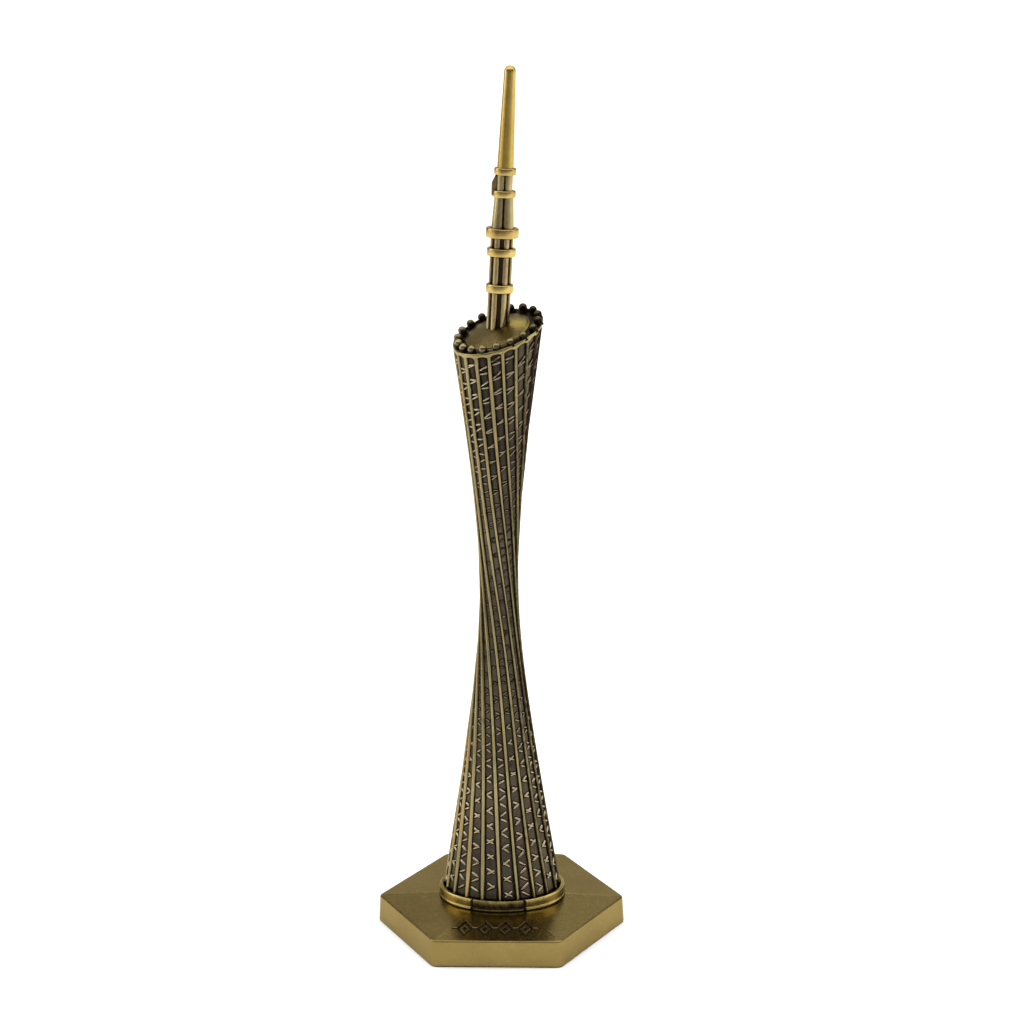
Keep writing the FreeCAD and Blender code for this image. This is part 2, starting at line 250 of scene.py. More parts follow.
class Nodes:
    """Short calls for building one material's node tree."""

    def __init__(self, name):
        self.material = bpy.data.materials.new(name)
        self.material.use_nodes = True
        self.tree = self.material.node_tree
        self.tree.nodes.clear()
        output = self.tree.nodes.new("ShaderNodeOutputMaterial")
        self.shader = self.tree.nodes.new("ShaderNodeBsdfPrincipled")
        self.link(self.shader.outputs["BSDF"], output.inputs["Surface"])
        self.place = self.tree.nodes.new("ShaderNodeTexCoord").outputs["Object"]

    def link(self, source, target):
        """Connect an output to an input."""
        self.tree.links.new(source, target)

    def noise(self, per_metre, detail, stretch=None, distortion=0.0):
        """Cloudy noise of a given scale, fixed to the object."""
        node = self.tree.nodes.new("ShaderNodeTexNoise")
        node.inputs["Scale"].default_value = per_metre
        node.inputs["Detail"].default_value = detail
        node.inputs["Distortion"].default_value = distortion
        place = self.place
        if stretch:
            mapping = self.tree.nodes.new("ShaderNodeMapping")
            mapping.inputs["Scale"].default_value = stretch
            self.link(self.place, mapping.inputs["Vector"])
            place = mapping.outputs["Vector"]
        self.link(place, node.inputs["Vector"])
        return node.outputs["Fac"]

    def attribute(self, name):
        """A value stored with the points of the mesh."""
        node = self.tree.nodes.new("ShaderNodeAttribute")
        node.attribute_name = name
        return node.outputs["Fac"]

    def math(self, operation, first, second, clamp=False):
        """Arithmetic on two values, each a number or another node's output."""
        node = self.tree.nodes.new("ShaderNodeMath")
        node.operation = operation
        node.use_clamp = clamp
        for socket, value in zip(node.inputs, (first, second)):
            if isinstance(value, (int, float)):
                socket.default_value = value
            else:
                self.link(value, socket)
        return node.outputs["Value"]

    def spread(self, value, low, high, to_low=0.0, to_high=1.0):
        """Smooth step from one number to another as the value goes from low to high."""
        node = self.tree.nodes.new("ShaderNodeMapRange")
        node.interpolation_type = "SMOOTHSTEP"
        self.link(value, node.inputs["Value"])
        for name, number in (("From Min", low), ("From Max", high),
                             ("To Min", to_low), ("To Max", to_high)):
            node.inputs[name].default_value = number
        return node.outputs["Result"]

    def mix(self, factor, first, second):
        """Mix of two colours, each a tuple or another node's output."""
        node = self.tree.nodes.new("ShaderNodeMix")
        node.data_type = "RGBA"
        self.link(factor, node.inputs["Factor"])
        for name, value in (("A", first), ("B", second)):
            socket = [s for s in node.inputs if s.name == name and s.type == "RGBA"][0]
            if isinstance(value, tuple):
                socket.default_value = (*value, 1.0)
            else:
                self.link(value, socket)
        return [s for s in node.outputs if s.type == "RGBA"][0]

    def cavity(self, reach):
        """1 in the open, towards 0 in corners and under edges within the reach."""
        node = self.tree.nodes.new("ShaderNodeAmbientOcclusion")
        node.samples = cavity_samples
        node.inputs["Distance"].default_value = reach * MM
        return node.outputs["AO"]

    def bump(self, height, depth, under=None):
        """Fine relief of a depth in millimetres, laid over another relief if one is given."""
        node = self.tree.nodes.new("ShaderNodeBump")
        node.inputs["Distance"].default_value = depth * MM
        self.link(height, node.inputs["Height"])
        if under is not None:
            self.link(under, node.inputs["Normal"])
        return node.outputs["Normal"]


def antique_brass(name, bright, dull, patina, patina_share, smooth, orange_peel=0.010,
                  tinge=None, tinge_share=0.5):
    """Plated casting: worn bright on the crests, dull between, dark patina in the recesses; its
    per-point attribute also carries painted light and shade on several pieces.

    The worn metal varies from dull to bright, with patches of a tinge, and has the roughness
    smooth; orange_peel is the depth of its fine unevenness in millimetres.
    """
    n = Nodes(name)
    clouds = n.noise(clouds_scale, 5.0, distortion=0.6)
    specks = n.noise(specks_scale, 5.0)
    grain = n.noise(grain_scale, 3.0)
    wear_and_light = n.attribute("wear_and_light")
    # worn metal
    tone = n.spread(n.math("ADD", n.math("MULTIPLY", clouds, 0.7),
                           n.math("MULTIPLY", specks, 0.3)), 0.36, 0.64)
    metal = n.mix(tone, dull, bright)
    if tinge:
        onset = 0.60 - tinge_share * 0.3
        patches = n.spread(n.noise(tinge_scale, 2.0, stretch=(1, 1, 0.45)), onset, onset + 0.3)
        metal = n.mix(patches, metal, tinge)
    # patina gathers where the surface is low, in corners and in cloudy patches, and also where the
    # per-point attribute is low, which on several pieces is painted shade
    openness = n.spread(n.cavity(cavity_reach), 0.25, 0.95)
    shelter = n.math("SUBTRACT", 1.0, n.math("MULTIPLY", openness, wear_and_light))
    ragged = n.math("ADD", shelter, n.math("MULTIPLY", n.math("SUBTRACT", specks, 0.5), 0.55))
    ragged = n.math("ADD", ragged, n.math("MULTIPLY", n.math("SUBTRACT", clouds, 0.5), 0.5))
    covered = n.spread(ragged, 0.5 - patina_share * 0.7, 1.05 - patina_share * 0.5)
    colour = n.mix(covered, metal, patina)
    n.link(colour, n.shader.inputs["Base Color"])
    n.shader.inputs["Metallic"].default_value = 1.0
    n.shader.inputs["Specular Tint"].default_value = metal_glance
    dulling = n.math("ADD", n.math("MULTIPLY", covered, patina_rough - smooth),
                     n.math("MULTIPLY", n.math("SUBTRACT", specks, 0.5), speck_rough))
    n.link(n.math("ADD", dulling, smooth, clamp=True), n.shader.inputs["Roughness"])
    fine = n.bump(grain, orange_peel * 0.35)
    n.link(n.bump(specks, orange_peel, under=fine), n.shader.inputs["Normal"])
    return n.material


def felt(name):
    """Black felt of short matted hairs."""
    n = Nodes(name)
    fuzz = n.noise(2600, 6.0)
    tufts = n.noise(500, 3.0)
    shade, hair = (0.010, 0.010, 0.011), (0.045, 0.044, 0.046)
    n.link(n.mix(n.spread(fuzz, 0.3, 0.7), shade, hair), n.shader.inputs["Base Color"])
    n.link(n.spread(tufts, 0.2, 0.8, 0.85, 1.0), n.shader.inputs["Roughness"])
    n.link(n.bump(fuzz, 0.08), n.shader.inputs["Normal"])
    n.shader.inputs["Sheen Weight"].default_value = 0.3
    return n.material


def zinc_steel(name):
    """Zinc-plated steel, a little stained, with fine turning marks."""
    n = Nodes(name)
    stain = n.noise(500, 4.0)
    turning = n.noise(3000, 2.0, stretch=(1, 1, 0.1))
    stained, clean = (0.42, 0.42, 0.43), (0.60, 0.60, 0.61)
    n.link(n.mix(n.spread(stain, 0.3, 0.7), stained, clean), n.shader.inputs["Base Color"])
    n.shader.inputs["Metallic"].default_value = 1.0
    n.link(n.spread(stain, 0.2, 0.8, 0.28, 0.45), n.shader.inputs["Roughness"])
    n.link(n.bump(turning, 0.01), n.shader.inputs["Normal"])
    return n.material


base_brass = antique_brass("base_brass", (0.262, 0.190, 0.064), (0.221, 0.158, 0.051),
                           (0.022, 0.017, 0.010), patina_share=0.10, smooth=0.25,
                           orange_peel=0.003)
roof_brass = antique_brass("roof_brass", (0.38, 0.290, 0.070), (0.190, 0.142, 0.044),
                           (0.085, 0.062, 0.025), patina_share=0.45, smooth=0.25,
                           orange_peel=0.003)
collar_brass = antique_brass("collar_brass", (0.54, 0.430, 0.150), (0.42, 0.325, 0.110),
                             (0.035, 0.026, 0.013), patina_share=0.22, smooth=0.22)
band_brass = antique_brass("band_brass", (0.58, 0.445, 0.155), (0.43, 0.31, 0.10),
                           (0.060, 0.040, 0.018), patina_share=0.18, smooth=0.20,
                           tinge=(0.36, 0.20, 0.065), tinge_share=0.35)
spike_brass = antique_brass("spike_brass", (0.55, 0.390, 0.112), (0.45, 0.295, 0.068),
                            (0.05, 0.035, 0.016), patina_share=0.10, smooth=0.18,
                            orange_peel=0.005)
lip_brass = antique_brass("lip_brass", (0.38, 0.31, 0.12), (0.24, 0.19, 0.08),
                          (0.026, 0.020, 0.012), patina_share=0.30, smooth=0.22)
rib_brass = antique_brass("rib_brass", (0.31, 0.265, 0.125), (0.185, 0.155, 0.070),
                          (0.020, 0.014, 0.009), patina_share=0.28, smooth=0.20,
                          tinge=(0.32, 0.215, 0.085), tinge_share=0.45)
upper_stem_brass = antique_brass("upper_stem_brass", (0.46, 0.37, 0.18), (0.31, 0.24, 0.11),
                                 (0.035, 0.020, 0.010), patina_share=0.25, smooth=0.20)
stem_brass = antique_brass("stem_brass", (0.42, 0.33, 0.155), (0.22, 0.16, 0.08),
                           (0.032, 0.019, 0.011), patina_share=0.34, smooth=0.20)
dark_brass = antique_brass("dark_brass", (0.098, 0.075, 0.049), (0.031, 0.023, 0.020),
                           (0.006, 0.004, 0.003), patina_share=0.35, smooth=0.30, orange_peel=0.02,
                           tinge=(0.044, 0.046, 0.027), tinge_share=0.5)
stroke_brass = antique_brass("stroke_brass", (0.54, 0.45, 0.29), (0.36, 0.29, 0.19),
                             (0.008, 0.005, 0.003), patina_share=0.22, smooth=0.22)
knob_brass = antique_brass("knob_brass", (0.44, 0.355, 0.175), (0.20, 0.16, 0.085),
                           (0.012, 0.009, 0.006), patina_share=0.42, smooth=0.10)


# ---------------------------------------- painted side light round the tower
# the side the light comes from, 35 degrees left of the front; its light is painted onto ribs,
# strokes, lip and knobs
painted_lit_side = math.radians(-35)


def painted_side_light(angle, least, side=painted_lit_side):
    """Painted side light round the tower: full on the lit side, least opposite it."""
    return least + (1 - least) * (0.5 + 0.5 * np.cos(angle - side))


def near_crown(z, start=85.0, reach=20.0):
    """0 up to a height, then rising to 1 within a reach."""
    return np.clip((z - start) / reach, 0, 1)


# ---------------------------------------- base
base_corner_radius = 26.1
base_draft = 0.27
side_height = 5.66
crown_top_radius = 11.8
corner_round = 1.7
rim_round = 0.35
foot_round = 0.2
recess_radius = 23.9
recess_round = 0.15
axis_hole = 0.05                # smallest ring of points round the middle
crease_width, crease_height = 0.20, 0.03    # raised line where two facets of the top meet
pad_top = float(node_box("base_pad")[1][2])
crown_top = float(node_box("base_shell")[1][2])
# steps of the base's outline, in degrees from the middle of a side
corner_start, corner_end, corner_steps = 25.4, 30.0, 18
fine_step, coarse_step = 0.28, 2.4
# wear of the base's parts, from the middle of the top to the underside
flat_wear, facet_wear, side_wear, foot_wear, under_wear = 0.3, 0.80, 0.88, 0.55, 0.2
stain_spread = 0.10             # how far the patina spreads round an engraved line


def hexagon_reach(angle, corner_radius, rounding):
    """Distance from the axis to the side of a hexagon with rounded corners."""
    from_corner = (np.asarray(angle) + TAU / 12) % (TAU / 6) - TAU / 12
    from_flat = TAU / 12 - np.abs(from_corner)
    flat = corner_radius * math.cos(TAU / 12)
    along = flat * np.tan(from_flat)
    straight = flat / np.cos(from_flat)
    if rounding <= 0:
        return straight
    centre = corner_radius - rounding / math.sin(TAU / 6)
    inside = np.maximum(rounding ** 2 - (centre * np.sin(from_corner)) ** 2, 0)
    rounded = centre * np.cos(from_corner) + np.sqrt(inside)
    tangent = corner_radius / 2 - rounding / math.tan(TAU / 6)
    return np.where(along > tangent, rounded, straight)


def base_angles():
    """Directions round the base: close together at the corners and over the engraving."""
    angles = []
    corner = np.linspace(corner_start, corner_end, corner_steps)
    reach = corner_start - 0.2
    for side in range(6):
        middle = -TAU / 4 + side * TAU / 6
        inner = np.arange(-reach, reach + 0.01, fine_step if side == 0 else coarse_step)
        degrees = np.concatenate([-corner[::-1][:-1], inner, corner])
        angles.extend((middle + np.radians(degrees)).tolist())
    return np.array(angles)


lozenge_count, lozenge_pitch = 4, 4.15
lozenge_half_width, lozenge_half_depth = 1.7, 3.2
heart_half_width, heart_half_depth = 0.4, 0.75
engraving_x, engraving_y, engraved_line, engraving_depth = -0.5, -17.1, 0.45, 0.35
engraved_edge = 0.14            # width of the slope from the surface to the floor of a line
engraving_margin = 0.12         # how far the row runs past its end lozenges, in pitches


def lozenge_distance(along, across, half_across, half_along):
    """How far a point lies outside a lozenge; negative inside."""
    size = np.abs(along) / half_across + np.abs(across) / half_along
    return (size - 1) * half_across * half_along / math.hypot(half_across, half_along)


def engraving(x, y, spread=0.0):
    """Share of the full depth: lozenge outlines with a mark inside, joined by bars."""
    place = (x - engraving_x) / lozenge_pitch + lozenge_count / 2
    along = (place % 1.0 - 0.5) * lozenge_pitch
    across = y - engraving_y
    half_line = engraved_line / 2
    rim = lozenge_distance(along, across, lozenge_half_width, lozenge_half_depth)
    outline = np.abs(rim + half_line) - half_line
    heart = lozenge_distance(along, across, heart_half_width, heart_half_depth)
    bar = np.maximum(np.abs(across) - half_line, lozenge_half_width - 0.1 - np.abs(along))
    nearest = np.minimum(np.minimum(outline, heart), bar)
    cut = np.clip(0.5 - (nearest - spread) / engraved_edge, 0, 1)
    row = (place > -engraving_margin) & (place < lozenge_count + engraving_margin)
    return np.where(row, cut * cut * (3 - 2 * cut), 0.0)


def ring_at(angles, distance, z, worn):
    """Points round the axis at a distance and a height, and their wear."""
    x, y = distance * np.cos(angles), distance * np.sin(angles)
    points = np.stack([x, y, np.broadcast_to(z, x.shape)], axis=-1)
    return points, np.broadcast_to(worn, x.shape)


def hexagon_ring(angles, corner_radius, z, worn, rounding=0):
    """Ring of points along a hexagon, and their wear."""
    return ring_at(angles, hexagon_reach(angles, corner_radius, rounding), z, worn)


def base_top(angles):
    """Flat under the foot ring, then the shallow pyramid with its engraving, out to the rim."""
    flat = crown_top_radius * math.cos(TAU / 12)
    rings = [hexagon_ring(angles, axis_hole, crown_top, flat_wear),
             hexagon_ring(angles, flat * 0.5, crown_top, flat_wear),
             hexagon_ring(angles, crown_top_radius, crown_top, flat_wear + 0.05)]
    inner = hexagon_reach(angles, crown_top_radius, 0)
    outer = hexagon_reach(angles, base_corner_radius - rim_round, corner_round)
    slope_end = side_height + (crown_top - side_height) * 0.012
    from_crease = (angles + TAU / 12) % (TAU / 6) - TAU / 12
    front = np.cos(angles + TAU / 4) > 0.8
    for share in np.concatenate([np.linspace(0.03, 0.22, 6), np.linspace(0.24, 0.90, 84),
                                 [0.93, 0.97, 1.0]]):
        distance = inner + (outer - inner) * share
        z = crown_top + (slope_end - crown_top) * share
        x, y = distance * np.cos(angles), distance * np.sin(angles)
        cut = engraving(x, y) * front
        stain = engraving(x, y, stain_spread) * front
        crease = np.exp(-(from_crease * distance / crease_width) ** 2) * min(1, 8 * (1 - share))
        worn = (facet_wear + 0.12 * np.clip(share * 8 - 7, 0, 1) + 0.1 * crease) * (1 - stain)
        z = z - engraving_depth * cut + crease_height * crease
        rings.append(ring_at(angles, distance, z, worn))
    return rings


def base_edge(angles):
    """Rounded rim, drafted side, rounded foot."""
    rings = []
    for step in np.radians(np.linspace(15, 90, 6)):
        radius = base_corner_radius - rim_round * (1 - math.sin(step))
        z = side_height - rim_round * (1 - math.cos(step))
        rings.append(hexagon_ring(angles, radius, z, 1.0, corner_round))
    drop = side_height - rim_round - foot_round
    for share in np.linspace(0.08, 0.92, 9):
        radius = base_corner_radius + base_draft * share
        z = side_height - rim_round - drop * share
        rings.append(hexagon_ring(angles, radius, z, side_wear, corner_round))
    for step in np.radians(np.linspace(0, 90, 4)):
        radius = base_corner_radius + base_draft - foot_round * (1 - math.cos(step))
        z = foot_round * (1 - math.sin(step))
        rings.append(hexagon_ring(angles, radius, z, foot_wear, corner_round))
    return rings


def base_underside(angles):
    """Rim of the underside, recess for the pad, and the closing face above the pad."""
    return [hexagon_ring(angles, recess_radius + recess_round, 0.0, 3 * under_wear),
            hexagon_ring(angles, recess_radius, recess_round, 2 * under_wear),
            hexagon_ring(angles, recess_radius, pad_top, under_wear),
            hexagon_ring(angles, axis_hole, pad_top, under_wear)]


def make_base():
    """Hexagonal casting: rings of points from the middle of the top to the underside."""
    angles = base_angles()
    rings = base_top(angles) + base_edge(angles) + base_underside(angles)
    build = Builder()
    build.add_capped([points for points, _ in rings], [worn for _, worn in rings])
    build.piece("base_casting", base_brass, "base_brass", "base_shell", sharp_angle=60)


# ---------------------------------------- foot ring
band_thickness, band_edge, band_inner_edge = 0.78, 0.28, 0.12
seam_angles = (math.radians(-27), math.radians(23))
seam_half_width, seam_slope, seam_depth = 0.34, 0.16, 0.32
seam_dirt = 0.9
least_edge_highlight = 0.36
# painted reflection: the ring is painted bright on both sides of its front segment and dark on the
# front segment
reflection_angles = (-180, -80, -60, -54, -28, -26, 22, 24, 53, 61, 80, 180)
reflection_shares = (0.45, 0.34, 0.34, 0.95, 1.0, 0.10, 0.10, 1.0, 1.0, 0.55, 0.55, 0.45)


def make_foot_ring():
    """Oval band with a low bead round it and a narrow seam on each side of the front."""
    low, high = ring_low[2], ring_high[2]
    half_x = (ring_high[0] - ring_low[0]) / 2
    half_y = (ring_high[1] - ring_low[1]) / 2
    outer_corner = (-band_edge, high - band_edge)
    inner_corner = (-band_thickness + band_inner_edge, high - band_inner_edge)
    bead = [(0.09, low + 0.66), (0.11, low + 0.80), (0.06, low + 0.96)]
    profile = ([(0, low), (0, low + 0.58)] + bead + [(0.0, low + 1.04), (0.04, low + 1.5)]
               + arc(outer_corner, band_edge, 0, 90, 6)
               + arc(inner_corner, band_inner_edge, 90, 180, 4)
               + [(-band_thickness, low)])
    angles = np.linspace(0, TAU, 720, endpoint=False)
    rows, wear_and_light = [], []
    groove = np.zeros_like(angles)
    painted_light = np.interp(np.degrees((angles + math.pi) % TAU) - 180, reflection_angles, reflection_shares)
    for seam in seam_angles:
        away = np.abs((angles - seam + math.pi) % TAU - math.pi) * half_x
        groove = np.maximum(groove, np.clip((seam_half_width - away) / seam_slope, 0, 1))
    for out, z in profile:
        deep = seam_depth * groove * (out > -0.5)
        x = tower_offset + (half_x + out - deep) * np.sin(angles)
        y = -(half_y + out - deep) * np.cos(angles)
        rows.append(np.stack([x, y, np.full_like(x, z)], axis=-1))
        # painted highlight along the top outer edge and on the bead, never below a least share
        highlit_edge = (high - z < 0.4 and out > -0.5) or out > 0.05
        edge_light = np.maximum(painted_light, least_edge_highlight) if highlit_edge else painted_light
        wear_and_light.append(edge_light * (1 - seam_dirt * groove))
    build = Builder()
    build.add_hoop(rows, wear_and_light)
    build.piece("foot_ring_band", collar_brass, "bright_brass", "foot_ring")


# ---------------------------------------- tower wall
panel_columns, panel_rows, panel_hollow = 12, 300, 0.05
wall_foot = -0.018              # the wall starts a little below the ring's top, a share of its height


def make_wall():
    """Shaft wall: slightly hollow panels between the ribs, with painted shade along the ribs and near
    the crown.
    """
    index = np.arange(rib_count * panel_columns) / panel_columns
    shares = np.linspace(wall_foot, 1.0, panel_rows)
    hollow = np.sin(np.pi * (index % 1.0)) ** 0.5
    # painted shade: each panel darkens towards the ribs on both sides, where they shade it
    middle = np.clip(1.45 * np.sin(np.pi * (index % 1.0)) - 0.42, 0, 1)
    offset = wall_offset - panel_hollow * hollow + panel_hollow
    rows, wear_and_light = [], []
    for share in shares:
        ring = panel_point(index, np.full_like(index, share), offset, lift=-1.0)
        rows.append(ring)
        # painted shade near the crown: full over the left half, least at the right edge, where more
        # light falls
        facing = np.clip((ring[:, 0] - tower_offset) / half_width(ring[:, 2]), 0, 1)
        painted_shade = near_crown(ring[:, 2], 82.0, 22.0) * (0.55 - 0.40 * facing)
        wear_and_light.append(middle * (1 - painted_shade))
    build = Builder()
    build.add_capped(rows, wear_and_light)
    build.piece("tower_wall", dark_brass, "dark_brass", "tower_core")


# ---------------------------------------- ribs
rib_half_foot, rib_half_crest = 0.50, 0.31
rib_stations = 170
rib_unevenness = 0.10
rib_profile_wear = (0.0, 0.25, 0.8, 1.0, 1.0, 1.0, 0.8, 0.25, 0.0)


def rib_light_and_shade(angle, z):
    """Painted light and shade on the ribs: lightest on the lit side, darkest behind, and below the
    crown darker at the sides than in front, most on the right.
    """
    right = float(np.clip((math.sin(angle) - 0.35) / 0.35, 0, 1))
    left = float(np.clip((-math.sin(angle) - 0.15) / 0.30, 0, 1))
    painted_shade = float(near_crown(z)) * (0.45 * right + 0.17 * left)
    return max(0.45, float(painted_side_light(angle, 0.25))) * (1 - painted_shade)


def rib_profile():
    """Pairs of (across, out) over a rib, from its left foot over the crest to its right foot."""
    side = [(rib_half_foot, wall_offset - 0.1), (rib_half_foot * 0.92, wall_offset + 0.12),
            (rib_half_crest * 1.1, crest_offset - 0.15),
            (rib_half_crest * 0.60, crest_offset - 0.04)]
    left = [(-across, out) for across, out in side]
    return left + [(0.0, crest_offset + 0.02)] + side[::-1]


def make_ribs():
    """Round-crested ribs, a little uneven, as a worn casting has them."""
    dice = random.Random(7)
    build = Builder()
    profile = rib_profile()
    worn = np.array(rib_profile_wear)
    shares = np.linspace(0.0, 1.0, rib_stations)
    for rib in range(rib_count):
        phase, pace, polish = dice.uniform(0, TAU), dice.uniform(2.0, 4.0), dice.uniform(0.68, 1.0)
        wobble = 1 + rib_unevenness * np.sin(phase + shares * TAU * pace)
        rows, wear_and_light = [], []
        for share, swell in zip(shares, wobble):
            centre = panel_point(float(rib), share, 0.0, lift=-0.9)
            z = float(centre[2])
            angle = float(rib_angle(float(rib), z))
            tangent = tower_point(angle + 0.01, z) - tower_point(angle - 0.01, z)
            tangent /= np.linalg.norm(tangent)
            outward = np.array([tangent[1], -tangent[0], 0.0])
            # ribs are narrower at the waist and on the right
            narrow = np.clip(float(half_width(z)) / 7.0, 0.72, 1.0)
            narrow *= 0.88 - 0.27 * math.sin(angle)
            rows.append([centre + tangent * across * swell * narrow + outward * out
                         for across, out in profile])
            patchy = polish + rib_unevenness * math.sin(phase + 1.7 * pace * share * TAU)
            # random polish and unevenness are the ribs' own wear; painted light and shade come on top
            wear_and_light.append(worn * patchy * rib_light_and_shade(angle, z))
        build.add_capped(rows, wear_and_light)
    build.piece("tower_rib_bars", rib_brass, "rib_brass", "tower_ribs", sharp_angle=70)


# ---------------------------------------- strokes in the panels
# along a stroke, from end to end, and across it, from side to side
stroke_stations = np.array([-1.12, -1.0, -0.8, -0.4, 0.0, 0.4, 0.8, 1.0, 1.12])
stroke_fullness = np.array([0.0, 0.42, 0.85, 1.0, 1.0, 1.0, 0.85, 0.42, 0.0])
stroke_across = np.array([-1.75, -1.0, -0.62, 0.0, 0.62, 1.0, 1.75])
stroke_lift = np.array([-0.05, 0.10, 0.72, 1.0, 0.72, 0.10, -0.05])
# across a stroke: the rows at its sides lie almost down on the wall and are painted dark as its
# shadow; the bright crest is wear
stroke_wear_and_shadow = np.array([0.35, 0.0, 0.85, 1.0, 0.85, 0.0, 0.35])
stroke_width, stroke_height, last_stroke = 0.52, 0.38, 0.985
tilt_heights = (12.0, 60.0, 112.0)
# each family: pitch, start in the first panel, shift from panel to panel, and its tilts in
# degrees at those heights
stroke_families = ((3.25, 0.0, 0.37, (-31.0, -26.0, 4.0)),
                   (3.48, 0.45, 0.61, (32.0, 34.0, 27.0)))
# how bright the strokes are at a height, least about the waist, and the side round the tower where
# painted side light makes them lightest; it turns with the height
brightness_heights = (22.0, 38.0, 52.0, 60.0, 86.0, 100.0, 112.0)
brightness_shares = (1.0, 0.66, 0.36, 0.26, 0.24, 0.42, 0.60)
lit_side_heights, lit_side_angles = (45.0, 100.0), (25.0, -40.0)


def make_stroke(build, rib, share, tilt, length, width, height, brightness):
    """One raised stroke across a panel, tilted from the ring direction."""
    left, right = rib + 0.5 - length / 2, rib + 0.5 + length / 2
    ends = panel_point(np.array([left, right]), np.array([share, share]), wall_offset)
    span = float(np.linalg.norm(ends[1] - ends[0]))
    rise = span * math.tan(tilt) / tower_span
    rows, wear_and_light = [], []
    for station, full in zip(stroke_stations, stroke_fullness):
        middle = rib + 0.5 + station * length / 2
        centre_share = share + station * rise / 2
        side = stroke_across * width / 2 * (0.35 + 0.65 * full)
        index = middle - side * math.sin(tilt) * length / span
        shares = centre_share + side * math.cos(tilt) / tower_span
        offset = wall_offset + height * (stroke_lift * full + 0.03)
        rows.append(panel_point(index, shares, offset))
        wear_and_light.append(stroke_wear_and_shadow * full * brightness)
    build.add_capped(rows, wear_and_light)


def stroke_brightness(rib, z):
    """Brightness of a stroke beside a rib at a height, with painted side light."""
    brightness = float(np.interp(z, brightness_heights, brightness_shares))
    side = math.radians(float(np.interp(z, lit_side_heights, lit_side_angles)))
    return brightness * float(painted_side_light(rib_angle(rib + 0.5, z), 0.45, side))


def make_strokes():
    """Two families of tilted strokes in every panel; they drift past each other."""
    dice = random.Random(11)
    build = Builder()
    for rib in range(rib_count):
        for pitch, start, shift, tilts in stroke_families:
            pitch /= tower_span
            share = (0.3 + (rib * shift + start) % 1.0) * pitch
            while share < last_stroke:
                z = ring_high[2] + share * tower_span
                # small where the tower is narrow, longer near the crown
                wide = float(np.clip((half_width(z) - 3.4) / 5.0, 0.18, 1.0))
                length = dice.uniform(0.43, 0.54) * (1 + 0.45 * float(near_crown(z)))
                tilt = float(np.interp(z, tilt_heights, tilts)) + dice.uniform(-7, 7)
                make_stroke(build, rib, share, math.radians(tilt), length,
                            stroke_width * (0.6 + 0.4 * wide), stroke_height * wide,
                            stroke_brightness(rib, z))
                share += pitch * dice.uniform(0.97, 1.03)
    build.piece("tower_strokes", stroke_brass, "rib_brass", "tower_core", sharp_angle=70)


# ---------------------------------------- crown
lip_drop, arch_drop, arch_reach = -0.80, 0.45, 0.07


def make_crown_rim():
    """Lip round the sloping top with small arches under it, and a channel behind it."""
    angles = np.linspace(0, TAU, 960, endpoint=False)
    ribs = np.array([rib_angle(float(rib), roof_height) for rib in range(rib_count)])
    away = np.abs((angles[:, None] - ribs[None, :] + math.pi) % TAU - math.pi).min(axis=1)
    lower = lip_drop - arch_drop * np.exp(-(away / arch_reach) ** 2)
    # distance out from the surface, height above the roof plane, and wear
    stations = [(-0.1, lower, 0.2), (0.07, lower + 0.10, 0.6), (0.13, lower * 0.55, 0.85),
                (0.10, -0.12, 1.0), (0.0, 0.0, 1.0), (-0.20, 0.0, 0.9), (-0.30, -0.10, 0.4),
                (-0.36, -0.38, 0.12), (-1.3, -0.42, 0.12), (-2.16, -0.38, 0.12),
                (-2.26, -0.18, 0.3), (-2.34, -0.15, 0.5), (-2.42, -0.3, 0.2),
                (-2.42, -1.25, 0.1), (-1.0, -1.25, 0.1)]
    rows = [roof_outline(angles, out, lift) for out, lift, _ in stations]
    # painted side light: the lip is lighter on the lit side
    wear_and_light = [worn * painted_side_light(angles, 0.62) for _, _, worn in stations]
    build = Builder()
    build.add_hoop(rows, wear_and_light)
    build.piece("crown_lip", lip_brass, "rib_brass", "crown_rim", sharp_angle=60)


plate_inset, plate_edge, dome_height = -2.47, 0.15, 1.5
# where a reflection is painted on the plate as a bright patch
highlight_x, highlight_y, highlight_reach = 4.6, -0.5, 2.6
plate_wear = 0.43


def make_roof_plate():
    """Smooth domed plate with a rounded, slightly raised edge."""
    angles = np.linspace(0, TAU, 240, endpoint=False)
    edge = roof_outline(angles, plate_inset, 0.0)
    centre = edge.mean(axis=0)
    # share of the way from the edge to the middle, height above the roof plane, and wear
    shell = [(0.0, -1.25, 0.2), (0.0, -0.10, 0.5), (0.004, 0.03, 0.9), (0.014, 0.10, 1.0),
             (0.030, 0.14, 1.0), (0.050, 0.16, 0.85)]
    for share in np.linspace(0.08, 0.99, 22):
        shell.append((share, plate_edge + (dome_height - plate_edge) * share * (2 - share), 0.8))
    rows, wear_and_light = [], []
    for share, lift, worn in shell:
        ring = centre + (edge - centre) * (1 - share)
        ring[:, 2] = roof_z(ring, lift)
        rows.append(ring)
        # painted reflection: the plate is painted brighter round one spot
        from_highlight = np.hypot(ring[:, 0] - highlight_x, ring[:, 1] - highlight_y)
        highlight = np.exp(-(from_highlight / highlight_reach) ** 2)
        wear_and_light.append(worn * (plate_wear + (1 - plate_wear) * highlight))
    build = Builder()
    build.add_capped(rows, wear_and_light)
    build.piece("roof_cover", roof_brass, "base_brass", "roof_plate")


bead_count = 18
bead_radius, bead_post, bead_inset, bead_shift = 0.8, 0.56, 0.88, 0.2
first_bead_angle = math.radians(3.5)
least_knob_light = 0.30


